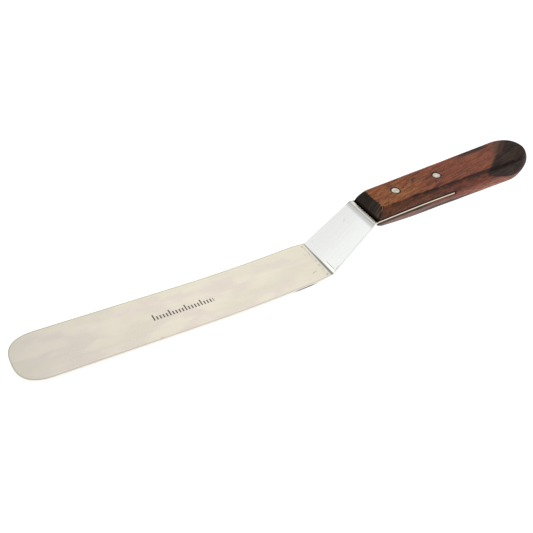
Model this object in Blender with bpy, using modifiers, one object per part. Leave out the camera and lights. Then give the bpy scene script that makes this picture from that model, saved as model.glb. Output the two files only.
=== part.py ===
"""Offset spatula: a cranked steel blade whose tang is pinned in a slotted rosewood handle.

+X runs from the blade's tip to the handle's butt, +Y is across the blade, +Z is up.
The spatula lies on its blade, and z = 0 is the underside of the flat pad next to the crank.
"""

from math import cos, pi, radians, sin, tan

import bmesh
import bpy
from mathutils import Matrix

# Sheet: one stamping, from the tip over the blade, the crank and the tang.
STEEL = 0.0013
BLADE_WIDTH = 0.0320
BLADE_REACH = 0.1740
TIP_LENGTH = 0.0175
TIP_FULLNESS = 2.7
SHOULDER_LENGTH = 0.0125
SHOULDER_WIDTH = 0.0297
CREST_WIDTH = 0.0241
BEND_RADIUS = 0.0012
CRANK_LENGTH = 0.0361
CRANK_ANGLE = radians(39.5)
BOW_ANGLE = radians(4.5)
BOW_START = 0.0210
BOW_END = 0.0840

# Tang: from the crest of the crank into the handle's slot.
TANG_ANGLE = radians(0.6)
NECK_LENGTH = 0.0028
TANG_LENGTH = 0.0587
TANG_CORNER = 0.0015

# Handle: a one-piece block, widest on the line of its slot.
HANDLE_LENGTH = 0.1248
HANDLE_THICKNESS = 0.0159
FRONT_HALF_WIDTH = 0.01135
WAIST_HALF_WIDTH = 0.0110
REAR_HALF_WIDTH = 0.0126
WAIST_AT = 0.0340
FACE_FRONT_HALF_WIDTH = 0.0085
FACE_REAR_HALF_WIDTH = 0.0109
FRONT_SLOPE = 0.0038
FRONT_FULLNESS = 1.6
LOWER_FRONT_SLOPE = 0.0060
LOWER_FRONT_FULLNESS = 1.9
FRONT_CORNER = 0.0006
FACE_CORNER = 0.0022
LOWER_EASE = 0.0024
LOWER_EASE_LENGTH = 0.0300
BUTT_LENGTH = 0.0192
BUTT_FULLNESS = 2.25
BUTT_SLOPE = 0.0037
SIDE_FULLNESS = 1.8
EDGE_ROUND = 0.0009
ROUND_FROM_ANGLE = radians(40)

# Fit between the pieces.
GAP = 0.0003
SLOT_EXTRA = 0.0004
PIN_RADIUS = 0.00238
PIN_EDGE = 0.0003
FRONT_PIN_AT = 0.0202
REAR_PIN_AT = 0.0512

# Fineness of the curved stretches.
BEND_STEPS = 6
BOW_STEPS = 7
TIP_STEPS = 22
SHOULDER_STEPS = 6
SIDE_STEPS = 18
BUTT_STEPS = 16
PIN_SIDES = 40
ROUND_STEPS = 3
PIN_EDGE_STEPS = 2
OUTLINE_LEVELS = (-1.0, -0.86, -0.6, -0.3, 0.0, 0.3, 0.6, 0.86, 1.0)
SHADE_ANGLE = radians(30)
WELD = 1e-6
CUTTER_REACH = 0.0600

# Worked out from the dimensions above.
MIDDLE_RADIUS = BEND_RADIUS + STEEL / 2
LOWER_SETBACK = MIDDLE_RADIUS * tan(CRANK_ANGLE / 2)
UPPER_TURN = CRANK_ANGLE - TANG_ANGLE
UPPER_SETBACK = MIDDLE_RADIUS * tan(UPPER_TURN / 2)
BOW_RADIUS = (BOW_END - BOW_START) / BOW_ANGLE
CREST_X = CRANK_LENGTH * cos(CRANK_ANGLE)
CREST_Z = CRANK_LENGTH * sin(CRANK_ANGLE)
TIP_X = -(BOW_START + BOW_RADIUS * sin(BOW_ANGLE) + (BLADE_REACH - BOW_END) * cos(BOW_ANGLE))
BUTT_X = CREST_X + (NECK_LENGTH + HANDLE_LENGTH) * cos(TANG_ANGLE)
BEND_X = -(TIP_X + BUTT_X) / 2
SHEET_Z = STEEL / 2


def clear_scene():
    for item in list(bpy.data.objects):
        bpy.data.objects.remove(item, do_unlink=True)


def new_collection(name):
    collection = bpy.data.collections.new(name)
    bpy.context.scene.collection.children.link(collection)
    return collection


def make_material(name, color, roughness, metallic):
    material = bpy.data.materials.new(name)
    material.use_nodes = True
    shader = material.node_tree.nodes["Principled BSDF"]
    shader.inputs["Base Color"].default_value = (*color, 1.0)
    shader.inputs["Roughness"].default_value = roughness
    shader.inputs["Metallic"].default_value = metallic
    return material


def add_object(name, data, collection, material=None, parent=None):
    item = bpy.data.objects.new(name, data)
    collection.objects.link(item)
    if material:
        data.materials.append(material)
    if parent:
        item.parent = parent
    return item


def hide_cutter(item):
    item.hide_render = True
    item.display_type = "WIRE"


def add_boolean(item, cutter, operation):
    modifier = item.modifiers.new(cutter.name, "BOOLEAN")
    modifier.operation = operation
    modifier.solver = "EXACT"
    modifier.object = cutter


def extruded_outline(name, outline, half_height, collection, turn=None):
    """A flat closed outline made a solid prism, as a mesh that Booleans can use."""
    curve = bpy.data.curves.new(name, "CURVE")
    curve.dimensions = "2D"
    curve.fill_mode = "BOTH"
    curve.extrude = half_height
    spline = curve.splines.new("POLY")
    spline.points.add(len(outline) - 1)
    for point, (x, y) in zip(spline.points, outline):
        point.co = (x, y, 0.0, 1.0)
    spline.use_cyclic_u = True
    source = bpy.data.objects.new(name + "_curve", curve)
    collection.objects.link(source)
    bpy.context.view_layer.update()
    evaluated = source.evaluated_get(bpy.context.evaluated_depsgraph_get())
    mesh = bpy.data.meshes.new_from_object(evaluated)
    mesh.name = name
    bpy.data.objects.remove(source, do_unlink=True)
    bpy.data.curves.remove(curve)
    shape = bmesh.new()
    shape.from_mesh(mesh)
    bmesh.ops.remove_doubles(shape, verts=shape.verts, dist=WELD)
    if turn:
        bmesh.ops.transform(shape, matrix=turn, verts=shape.verts)
    bmesh.ops.recalc_face_normals(shape, faces=shape.faces)
    shape.to_mesh(mesh)
    shape.free()
    return add_object(name, mesh, collection)


# ---------------------------------------------------------------- sheet


def side_path():
    """Middle line of the sheet seen from the side: (x, z, heading) from the tip to the tang's end."""
    runs = (
        (BLADE_REACH - BOW_END, 0.0, 1),
        (BOW_RADIUS * BOW_ANGLE, BOW_ANGLE, BOW_STEPS),
        (BOW_START - LOWER_SETBACK, 0.0, 1),
        (MIDDLE_RADIUS * CRANK_ANGLE, CRANK_ANGLE, BEND_STEPS),
        (CRANK_LENGTH - LOWER_SETBACK - UPPER_SETBACK, 0.0, 1),
        (MIDDLE_RADIUS * UPPER_TURN, -UPPER_TURN, BEND_STEPS),
        (NECK_LENGTH + TANG_LENGTH - UPPER_SETBACK, 0.0, 1),
    )
    x = TIP_X
    z = BOW_RADIUS * (1 - cos(BOW_ANGLE)) + (BLADE_REACH - BOW_END) * sin(BOW_ANGLE)
    heading = -BOW_ANGLE
    points = [(x, z, heading)]
    for length, turn, steps in runs:
        for _ in range(steps):
            heading += turn / steps / 2
            chord = length / steps
            if turn:
                chord = 2 * (length / turn) * sin(turn / steps / 2)
            x += chord * cos(heading)
            z += chord * sin(heading)
            heading += turn / steps / 2
            points.append((x, z, heading))
    return points


def side_outline():
    """The sheet's edge view: the middle line offset by half the thickness to each side."""
    upper = [(x - sin(a) * STEEL / 2, z + cos(a) * STEEL / 2) for x, z, a in side_path()]
    lower = [(x + sin(a) * STEEL / 2, z - cos(a) * STEEL / 2) for x, z, a in side_path()]
    return upper + lower[::-1]


def smooth(part):
    return part * part * (3 - 2 * part)


def slot_half_width(along):
    """Half the handle's width on the slot's line, a slim waist between a fuller front and rear."""
    if along < WAIST_AT:
        part = 1 - along / WAIST_AT
        return WAIST_HALF_WIDTH + (FRONT_HALF_WIDTH - WAIST_HALF_WIDTH) * part * part
    part = min(1.0, (along - WAIST_AT) / (HANDLE_LENGTH - BUTT_LENGTH - WAIST_AT))
    return WAIST_HALF_WIDTH + (REAR_HALF_WIDTH - WAIST_HALF_WIDTH) * smooth(part)


def plan_half_outline():
    """The +Y half of the sheet seen from above, from the tip's middle to the tang's end."""
    points = []
    for step in range(TIP_STEPS + 1):
        angle = pi / 2 * step / TIP_STEPS
        x = TIP_X + TIP_LENGTH * (1 - cos(angle) ** (2 / TIP_FULLNESS))
        points.append((x, BLADE_WIDTH / 2 * sin(angle) ** (2 / TIP_FULLNESS)))
    narrowing = (BLADE_WIDTH - SHOULDER_WIDTH) / 2
    for step in range(SHOULDER_STEPS + 1):
        part = step / SHOULDER_STEPS
        points.append((-SHOULDER_LENGTH * (1 - part), BLADE_WIDTH / 2 - narrowing * part * part))
    points.append((CREST_X, CREST_WIDTH / 2))
    front = CREST_X + NECK_LENGTH
    straight = TANG_LENGTH - TANG_CORNER
    for step in range(SIDE_STEPS + 1):
        along = straight * step / SIDE_STEPS
        points.append((front + along, slot_half_width(along)))
    middle = slot_half_width(straight) - TANG_CORNER
    for step in range(1, BEND_STEPS + 1):
        angle = pi / 2 * step / BEND_STEPS
        points.append((front + straight + TANG_CORNER * sin(angle), middle + TANG_CORNER * cos(angle)))
    return points


def sheet_plan():
    half = plan_half_outline()
    return half + [(x, -y) for x, y in reversed(half) if y > 0]


def make_blade(parts, cutters, steel):
    """The side view, as wide as the blade, kept only where it lies inside the plan view."""
    upright = Matrix.Rotation(pi / 2, 4, "X")
    blade = extruded_outline("blade", side_outline(), BLADE_WIDTH, parts, upright)
    plan = extruded_outline("blade_plan", sheet_plan(), CUTTER_REACH, cutters)
    hide_cutter(plan)
    for item in (blade, plan):
        item.location = (BEND_X, 0.0, SHEET_Z)
    blade.data.materials.append(steel)
    add_boolean(blade, plan, "INTERSECT")
    return blade


# ---------------------------------------------------------------- handle


def face_half_width(along, level):
    """Half the width of the flat face; the lower one is eased in near the front."""
    part = min(1.0, along / (HANDLE_LENGTH - BUTT_LENGTH))
    width = FACE_FRONT_HALF_WIDTH + (FACE_REAR_HALF_WIDTH - FACE_FRONT_HALF_WIDTH) * part
    if level < 0 and along < LOWER_EASE_LENGTH:
        width -= LOWER_EASE * (1 - along / LOWER_EASE_LENGTH) ** 2
    return width


def level_outline(level):
    """The handle's outline at a height of `level` times half its thickness."""
    rise = abs(level) ** SIDE_FULLNESS
    front = FRONT_SLOPE * abs(level) ** FRONT_FULLNESS
    if level < 0:
        front = LOWER_FRONT_SLOPE * abs(level) ** LOWER_FRONT_FULLNESS
    rear = HANDLE_LENGTH - BUTT_SLOPE * level * level
    butt = rear - (HANDLE_LENGTH - BUTT_LENGTH)

    def half_width(along):
        wide = slot_half_width(along)
        return wide + (face_half_width(along, level) - wide) * rise

    corner = FRONT_CORNER + (FACE_CORNER - FRONT_CORNER) * level * level
    half = []
    for step in range(BEND_STEPS + 1):
        angle = pi / 2 * step / BEND_STEPS
        x = front + corner * (1 - cos(angle))
        half.append((x, half_width(x) - corner * (1 - sin(angle))))
    start = front + corner
    end = rear - butt
    for step in range(1, SIDE_STEPS + 1):
        x = start + (end - start) * step / SIDE_STEPS
        half.append((x, half_width(x)))
    for step in range(1, BUTT_STEPS + 1):
        angle = pi / 2 * step / BUTT_STEPS
        width = half_width(end) * max(cos(angle), 0.0) ** (2 / BUTT_FULLNESS)
        half.append((end + butt * sin(angle) ** (2 / BUTT_FULLNESS), width if step < BUTT_STEPS else 0.0))
    return half + [(x, -y) for x, y in reversed(half) if y > 0]


def handle_mesh():
    """Outlines stacked from the lower to the upper face, joined by walls and closed by the two faces."""
    shape = bmesh.new()
    rings = []
    for level in OUTLINE_LEVELS:
        height = level * HANDLE_THICKNESS / 2
        rings.append([shape.verts.new((x, y, height)) for x, y in level_outline(level)])
    for low, high in zip(rings, rings[1:]):
        for index in range(len(low)):
            after = (index + 1) % len(low)
            shape.faces.new((low[index], low[after], high[after], high[index]))
    shape.faces.new(rings[0])
    shape.faces.new(rings[-1])
    bmesh.ops.recalc_face_normals(shape, faces=shape.faces)
    mesh = bpy.data.meshes.new("handle")
    shape.to_mesh(mesh)
    shape.free()
    return mesh


def pin_mesh(name, radius, length):
    shape = bmesh.new()
    bmesh.ops.create_cone(
        shape,
        cap_ends=True,
        segments=PIN_SIDES,
        radius1=radius,
        radius2=radius,
        depth=length,
    )
    mesh = bpy.data.meshes.new(name)
    shape.to_mesh(mesh)
    shape.free()
    return mesh


def make_handle(parts, cutters, wood, frame):
    handle = add_object("handle", handle_mesh(), parts, wood, frame)
    edges = handle.modifiers.new("soft_edges", "BEVEL")
    edges.width = EDGE_ROUND
    edges.segments = ROUND_STEPS
    edges.limit_method = "ANGLE"
    edges.angle_limit = ROUND_FROM_ANGLE
    length = TANG_LENGTH + SLOT_EXTRA
    shape = bmesh.new()
    bmesh.ops.create_cube(shape, size=1.0)
    bmesh.ops.scale(shape, vec=(2 * length, CUTTER_REACH, STEEL + 2 * GAP), verts=shape.verts)
    mesh = bpy.data.meshes.new("slot")
    shape.to_mesh(mesh)
    shape.free()
    slot = add_object("slot", mesh, cutters, None, frame)
    hide_cutter(slot)
    add_boolean(handle, slot, "DIFFERENCE")
    return handle


def make_pin(name, along, parts, cutters, metal, frame, drilled):
    """A flush pin through handle and tang, and the hole that it stands in."""
    pin = add_object(name, pin_mesh(name, PIN_RADIUS, HANDLE_THICKNESS), parts, metal, frame)
    pin.location = (along, 0.0, 0.0)
    edge = pin.modifiers.new("edge", "BEVEL")
    edge.width = PIN_EDGE
    edge.segments = PIN_EDGE_STEPS
    edge.limit_method = "ANGLE"
    edge.angle_limit = ROUND_FROM_ANGLE
    bore_mesh = pin_mesh(name + "_hole", PIN_RADIUS + GAP, 2 * HANDLE_THICKNESS)
    bore = add_object(name + "_hole", bore_mesh, cutters, None, frame)
    bore.location = (along, 0.0, 0.0)
    hide_cutter(bore)
    for item in drilled:
        add_boolean(item, bore, "DIFFERENCE")
    return pin


def shade(item):
    item.data.shade_smooth()
    item.data.set_sharp_from_angle(angle=SHADE_ANGLE)


def main():
    clear_scene()
    parts = new_collection("offset_spatula")
    cutters = new_collection("cutters")
    steel = make_material("steel", (0.72, 0.70, 0.67), 0.28, 1.0)
    wood = make_material("rosewood", (0.24, 0.09, 0.04), 0.42, 0.0)
    pin_metal = make_material("pin_metal", (0.74, 0.72, 0.64), 0.35, 1.0)

    frame = bpy.data.objects.new("handle_frame", None)
    parts.objects.link(frame)
    neck_x = NECK_LENGTH * cos(TANG_ANGLE)
    neck_z = NECK_LENGTH * sin(TANG_ANGLE)
    frame.location = (BEND_X + CREST_X + neck_x, 0.0, SHEET_Z + CREST_Z + neck_z)
    frame.rotation_euler = (0.0, -TANG_ANGLE, 0.0)

    blade = make_blade(parts, cutters, steel)
    handle = make_handle(parts, cutters, wood, frame)
    bpy.context.view_layer.update()
    shade(blade)
    shade(handle)
    for name, along in (("front_rivet", FRONT_PIN_AT), ("rear_rivet", REAR_PIN_AT)):
        shade(make_pin(name, along, parts, cutters, pin_metal, frame, (handle, blade)))


main()
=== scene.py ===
"""Offset spatula: the finished look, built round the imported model.

Metres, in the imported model's frame: +X from the blade's tip to the handle's butt, +Y across, +Z up.
The spatula lies on the flat pad of its blade, and z = 0 is the surface that it lies on.
"""

from math import cos, pi, radians, sin, tan
from types import SimpleNamespace

import bmesh
import bpy
import numpy as np
from mathutils import Matrix, Vector, noise


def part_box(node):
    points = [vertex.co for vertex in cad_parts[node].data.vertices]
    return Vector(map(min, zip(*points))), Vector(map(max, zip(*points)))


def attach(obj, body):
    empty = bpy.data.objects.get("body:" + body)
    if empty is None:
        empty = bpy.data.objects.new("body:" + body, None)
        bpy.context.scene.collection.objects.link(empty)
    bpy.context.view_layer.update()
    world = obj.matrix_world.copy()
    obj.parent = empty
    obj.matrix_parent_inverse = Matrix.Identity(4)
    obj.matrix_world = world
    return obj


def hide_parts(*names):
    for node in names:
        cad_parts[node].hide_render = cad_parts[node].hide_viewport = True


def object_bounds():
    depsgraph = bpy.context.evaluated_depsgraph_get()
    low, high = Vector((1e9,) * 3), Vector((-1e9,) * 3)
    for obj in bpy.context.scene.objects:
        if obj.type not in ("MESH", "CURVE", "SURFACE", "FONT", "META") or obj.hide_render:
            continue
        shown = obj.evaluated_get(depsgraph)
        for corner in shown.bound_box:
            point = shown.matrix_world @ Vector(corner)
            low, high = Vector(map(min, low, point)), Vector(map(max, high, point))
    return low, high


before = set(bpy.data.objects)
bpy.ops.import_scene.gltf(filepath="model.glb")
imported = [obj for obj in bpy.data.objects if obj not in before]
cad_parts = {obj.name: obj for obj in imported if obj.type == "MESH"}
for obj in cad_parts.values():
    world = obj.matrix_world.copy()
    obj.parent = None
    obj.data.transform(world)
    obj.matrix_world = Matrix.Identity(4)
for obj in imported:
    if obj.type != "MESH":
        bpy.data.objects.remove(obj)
CAD_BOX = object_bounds()

# ---- sizes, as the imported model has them

STEEL = 0.0013
BLADE_WIDTH = 0.0320
BLADE_REACH = 0.1740
TIP_LENGTH = 0.0175
TIP_FULLNESS = 2.7
SHOULDER_LENGTH = 0.0125
SHOULDER_WIDTH = 0.0297
CREST_WIDTH = 0.0241
BEND_RADIUS = 0.0012
CRANK_LENGTH = 0.0361
CRANK_ANGLE = radians(39.5)
BOW_ANGLE = radians(4.5)
BOW_START = 0.0210
BOW_END = 0.0840
TANG_ANGLE = radians(0.6)
NECK_LENGTH = 0.0028
TANG_LENGTH = 0.0587
TANG_CORNER = 0.0015

HANDLE_LENGTH = 0.1248
HANDLE_THICKNESS = 0.0159
FRONT_HALF_WIDTH = 0.01135
WAIST_HALF_WIDTH = 0.0110
REAR_HALF_WIDTH = 0.0126
WAIST_AT = 0.0340
FACE_FRONT_HALF_WIDTH = 0.0085
FACE_REAR_HALF_WIDTH = 0.0109
FRONT_SLOPE = 0.0038
FRONT_FULLNESS = 1.6
LOWER_FRONT_SLOPE = 0.0060
LOWER_FRONT_FULLNESS = 1.9
FRONT_CORNER = 0.0006
FACE_CORNER = 0.0022
LOWER_EASE = 0.0024
LOWER_EASE_LENGTH = 0.0300
BUTT_LENGTH = 0.0192
BUTT_FULLNESS = 2.25
BUTT_SLOPE = 0.0037
SIDE_FULLNESS = 1.8

GAP = 0.0003
SLOT_END = TANG_LENGTH + 0.0004
PIN_RADIUS = 0.00238

# ---- finish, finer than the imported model's

SHEET_EDGE = 0.00012
TANG_EDGE = 0.00008
SHEET_COLUMNS = 25
SHEET_CROWDING = 2.6
TIP_STEPS = 44
TANG_CORNER_STEPS = 6

RIDGE_ROUND = 0.0009
FRONT_RIDGE_ROUND = 0.0005
RIDGE_LEAN = radians(26)
RIDGE_STEPS = 6
HANDLE_COLUMNS = 67
SIDE_LEVELS = 21
HANDLE_CORNER_STEPS = 8
HANDLE_SIDE_STEPS = 110
BUTT_STEPS = 40
WAVE_HEIGHT = 0.00009
SAW_DEPTH = 0.00010
SAWN_SKIN = 0.0007

HOLE_GAP = GAP * 0.8
PIN_FACE = PIN_RADIUS * 0.84
PIN_DOME = 0.00005
PIN_EDGE_DROP = 0.7

# ---- worked out from the sizes above

MIDDLE_RADIUS = BEND_RADIUS + STEEL / 2
LOWER_SETBACK = MIDDLE_RADIUS * tan(CRANK_ANGLE / 2)
UPPER_TURN = CRANK_ANGLE - TANG_ANGLE
UPPER_SETBACK = MIDDLE_RADIUS * tan(UPPER_TURN / 2)
BOW_RADIUS = (BOW_END - BOW_START) / BOW_ANGLE
TIP_X = -(BOW_START + BOW_RADIUS * sin(BOW_ANGLE) + (BLADE_REACH - BOW_END) * cos(BOW_ANGLE))
TIP_Z = BOW_RADIUS * (1 - cos(BOW_ANGLE)) + (BLADE_REACH - BOW_END) * sin(BOW_ANGLE)
CREST_X = CRANK_LENGTH * cos(CRANK_ANGLE)
FRONT_X = CREST_X + NECK_LENGTH * cos(TANG_ANGLE)
FRONT_Z = CRANK_LENGTH * sin(CRANK_ANGLE) + NECK_LENGTH * sin(TANG_ANGLE)
BEND_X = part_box("blade")[0].x - TIP_X
SHEET_Z = STEEL / 2
HANDLE_TILT = Matrix.Rotation(-TANG_ANGLE, 4, "Y")
HANDLE_FRAME = Matrix.Translation((BEND_X + FRONT_X, 0.0, SHEET_Z + FRONT_Z)) @ HANDLE_TILT

# The sheet's side view from its tip, as runs of (length, turn, steps in the mesh).
RUNS = (
    (BLADE_REACH - BOW_END, 0.0, 24),
    (BOW_END - BOW_START, BOW_ANGLE, 24),
    (BOW_START - LOWER_SETBACK, 0.0, 16),
    (MIDDLE_RADIUS * CRANK_ANGLE, CRANK_ANGLE, 16),
    (CRANK_LENGTH - LOWER_SETBACK - UPPER_SETBACK, 0.0, 16),
    (MIDDLE_RADIUS * UPPER_TURN, -UPPER_TURN, 16),
    (NECK_LENGTH + TANG_LENGTH - UPPER_SETBACK, 0.0, 24),
)
RUN_ENDS = [sum(run[0] for run in RUNS[: index + 1]) for index in range(len(RUNS))]
LOWER_BEND_AT = (RUN_ENDS[2] + RUN_ENDS[3]) / 2
UPPER_BEND_AT = (RUN_ENDS[4] + RUN_ENDS[5]) / 2
HANDLE_AT = RUN_ENDS[-1] - TANG_LENGTH


def pin_frame(node):
    """The frame of a packed pin: its middle, and the handle's tilt."""
    low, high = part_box(node)
    return Matrix.Translation((low + high) / 2) @ HANDLE_TILT


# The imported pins, and how far back each one stands in the handle, in millimetres.
PIN_NODES = ("front_rivet", "rear_rivet")
PINS_AT = [1000 * (HANDLE_FRAME.inverted() @ pin_frame(node).translation).x for node in PIN_NODES]

# ---- meshes


def patch_solid(name, low_grid, rings, high_grid):
    """A closed mesh from two facing grids of points and the rings that join their borders.

    Each of them is an array of (rows, columns, 3), and of a ring only the border is used.
    """
    rows, columns = low_grid.shape[:2]
    border = [(0, k) for k in range(columns)] + [(i, columns - 1) for i in range(1, rows)]
    border += [(rows - 1, k) for k in range(columns - 2, -1, -1)] + [(i, 0) for i in range(rows - 2, 0, -1)]
    count = rows * columns
    points = [low_grid.reshape(-1, 3)] + [grid_border(ring) for ring in rings] + [high_grid.reshape(-1, 3)]
    first = [i * columns + k for i, k in border]
    starts = [count + index * len(border) for index in range(len(rings))]
    high_start = count + len(rings) * len(border)
    loops = [first] + [list(range(start, start + len(border))) for start in starts]
    loops.append([high_start + index for index in first])
    faces = []
    for i in range(rows - 1):
        for k in range(columns - 1):
            corner = i * columns + k
            quad = (corner, corner + 1, corner + columns + 1, corner + columns)
            faces.append(quad)
            faces.append(tuple(high_start + index for index in reversed(quad)))
    for lower, upper in zip(loops, loops[1:]):
        for index in range(len(border)):
            after = (index + 1) % len(border)
            faces.append((lower[after], lower[index], upper[index], upper[after]))
    mesh = bpy.data.meshes.new(name)
    mesh.from_pydata(np.concatenate(points).tolist(), [], faces)
    mesh.update()
    shape = bmesh.new()
    shape.from_mesh(mesh)
    bmesh.ops.recalc_face_normals(shape, faces=shape.faces)
    shape.to_mesh(mesh)
    shape.free()
    return mesh


def grid_border(grid):
    """The border points of a grid, once round, in patch_solid's order."""
    return np.concatenate([grid[0], grid[1:, -1], grid[-1, -2::-1], grid[-2:0:-1, 0]])


def row_grid(along, half, spread, height):
    """Points in rows across: row i lies at along[i] and spans half[i] to each side."""
    x = np.repeat(np.asarray(along)[:, None], len(spread), axis=1)
    y = np.asarray(half)[:, None] * spread[None, :]
    return np.stack([x, y, np.full_like(x, height)], axis=-1)


def drawn_in(along, half, inset):
    """The half outline (along, half) moved inwards by inset, which may differ from point to point."""
    x = np.concatenate([[along[0]], along, [along[-1]]])
    y = np.concatenate([[-half[0]], half, [-half[-1]]])
    step = np.stack([x[2:] - x[:-2], y[2:] - y[:-2]], axis=1)
    step /= np.linalg.norm(step, axis=1)[:, None]
    narrowest = 1e-5
    return along + step[:, 1] * inset, np.maximum(half - step[:, 0] * inset, narrowest)


def spread_across(columns, crowding):
    """Shares of the half width from -1 to 1, closer together near the edges."""
    even = np.linspace(-1, 1, columns)
    return np.sign(even) * (1 - (1 - np.abs(even)) ** crowding)


def quarter_turn(steps, first=1):
    """The angles after each step of a quarter turn."""
    return [pi / 2 * step / steps for step in range(first, steps + 1)]


def linked(name, mesh):
    item = bpy.data.objects.new(name, mesh)
    bpy.context.scene.collection.objects.link(item)
    return item


def shaped(name, shape):
    """A linked object that has the bmesh as its mesh."""
    mesh = bpy.data.meshes.new(name)
    shape.to_mesh(mesh)
    shape.free()
    return linked(name, mesh)


def cylinder(name, radius, length, matrix):
    shape = bmesh.new()
    bmesh.ops.create_cone(
        shape, cap_ends=True, segments=64, radius1=radius, radius2=radius, depth=length, matrix=matrix
    )
    return shaped(name, shape)


def box(name, size, matrix):
    shape = bmesh.new()
    bmesh.ops.create_cube(shape, size=1.0, matrix=matrix @ Matrix.Diagonal((*size, 1.0)))
    return shaped(name, shape)


def cut(item, cutters):
    """Takes the cutters out of the item for good, and leaves them for other pieces."""
    for cutter in cutters:
        modifier = item.modifiers.new(cutter.name, "BOOLEAN")
        modifier.operation = "DIFFERENCE"
        modifier.solver = "EXACT"
        modifier.object = cutter
    bpy.context.view_layer.update()
    evaluated = item.evaluated_get(bpy.context.evaluated_depsgraph_get())
    mesh = bpy.data.meshes.new_from_object(evaluated)
    item.modifiers.clear()
    item.data = mesh


def shade(item, angle):
    item.data.shade_smooth()
    item.data.set_sharp_from_angle(angle=angle)


# ---- sheet


def sheet_place(along):
    """(x, z, heading) of the sheet's middle line at a distance along it from the tip."""
    x, z, heading = BEND_X + TIP_X, SHEET_Z + TIP_Z, -BOW_ANGLE
    left = along
    for index, (length, turn, _) in enumerate(RUNS):
        part = left if index == len(RUNS) - 1 else min(left, length)
        if turn:
            radius = length / turn
            after = heading + part / radius
            x += radius * (sin(after) - sin(heading))
            z += radius * (cos(heading) - cos(after))
            heading = after
        else:
            x += part * cos(heading)
            z += part * sin(heading)
        left -= part
        if left <= 0:
            break
    return x, z, heading


def bent(flat):
    """Takes points of the flat blank, as (along, across, lift from the middle), to their place in space."""
    shape = flat.shape
    flat = flat.reshape(-1, 3)
    place = np.array([sheet_place(value) for value in flat[:, 0]])
    x = place[:, 0] - np.sin(place[:, 2]) * flat[:, 2]
    z = place[:, 1] + np.cos(place[:, 2]) * flat[:, 2]
    return np.stack([x, flat[:, 1], z], axis=1).reshape(shape)


def smooth(part):
    return part * part * (3 - 2 * part)


def slot_half_width(along):
    """Half the handle's width on the slot's line, measured from the handle's front."""
    if along < WAIST_AT:
        part = 1 - along / WAIST_AT
        return WAIST_HALF_WIDTH + (FRONT_HALF_WIDTH - WAIST_HALF_WIDTH) * part * part
    part = min(1.0, (along - WAIST_AT) / (HANDLE_LENGTH - BUTT_LENGTH - WAIST_AT))
    return WAIST_HALF_WIDTH + (REAR_HALF_WIDTH - WAIST_HALF_WIDTH) * smooth(part)


def sheet_half_width(x):
    """Half the sheet's width where the tip's rounding is over; x is measured from the lower bend."""
    if x < 0:
        part = max(0.0, 1 + x / SHOULDER_LENGTH)
        return BLADE_WIDTH / 2 - (BLADE_WIDTH - SHOULDER_WIDTH) / 2 * part * part
    if x < CREST_X:
        return (SHOULDER_WIDTH + (CREST_WIDTH - SHOULDER_WIDTH) * x / CREST_X) / 2
    if x < FRONT_X:
        return CREST_WIDTH / 2 + (FRONT_HALF_WIDTH - CREST_WIDTH / 2) * (x - CREST_X) / NECK_LENGTH
    return slot_half_width(x - FRONT_X)


def blank_outline():
    """Half the flat blank's outline as (along, half width), from the tip to the tang's end."""
    along, half = [], []
    for angle in quarter_turn(TIP_STEPS):
        along.append(TIP_LENGTH * (1 - cos(angle) ** (2 / TIP_FULLNESS)))
        half.append(BLADE_WIDTH / 2 * sin(angle) ** (2 / TIP_FULLNESS))
    straight_end = RUN_ENDS[-1] - TANG_CORNER
    stops = [TIP_LENGTH, *RUN_ENDS[:-1], straight_end]
    for start, end, (_, _, steps) in zip(stops, stops[1:], RUNS):
        for step in range(1, steps + 1):
            place = start + (end - start) * step / steps
            along.append(place)
            half.append(sheet_half_width(sheet_place(place)[0] - BEND_X))
    middle = half[-1] - TANG_CORNER
    for angle in quarter_turn(TANG_CORNER_STEPS):
        along.append(straight_end + TANG_CORNER * sin(angle))
        half.append(middle + TANG_CORNER * cos(angle))
    return np.array(along), np.array(half)


def make_blade(cutters):
    """The flat blank with its edges softened, bent to shape and drilled."""
    along, half = blank_outline()
    into_tang = np.clip((along - UPPER_BEND_AT) / NECK_LENGTH, 0, 1)
    edge = SHEET_EDGE + (TANG_EDGE - SHEET_EDGE) * into_tang
    spread = spread_across(SHEET_COLUMNS, SHEET_CROWDING)
    levels = []
    for side, turns in ((-1, (90, 60, 30, 0)), (1, (0, 30, 60, 90))):
        for turn in turns:
            x, y = drawn_in(along, half, edge * (1 - cos(radians(turn))))
            grid = row_grid(x, y, spread, 0.0)
            lift = side * (STEEL / 2 - edge * (1 - sin(radians(turn))))
            grid[..., 2] = lift[:, None]
            levels.append(bent(grid))
    blade = linked("spatula_blade", patch_solid("spatula_blade", levels[0], levels[1:-1], levels[-1]))
    cut(blade, cutters)
    shade(blade, radians(32))
    mark_sheet(blade.data, along, half)
    return blade


def rim_distance(place, across, along, half):
    """The distance of points on the flat blank from its outline."""
    tip_end = np.linspace(-half[0], half[0], 80)
    tip_end = np.stack([np.full(len(tip_end), along[0]), tip_end], 1)
    edge = np.concatenate([np.stack([along, half], 1), np.stack([along, -half], 1), tip_end])
    rim = np.min(np.hypot(place[:, None] - edge[None, :, 0], across[:, None] - edge[None, :, 1]), axis=1)
    side = np.interp(place, along, half) - np.abs(across)
    return np.minimum(rim, np.where(side > 0, side, 0.0))


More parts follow.
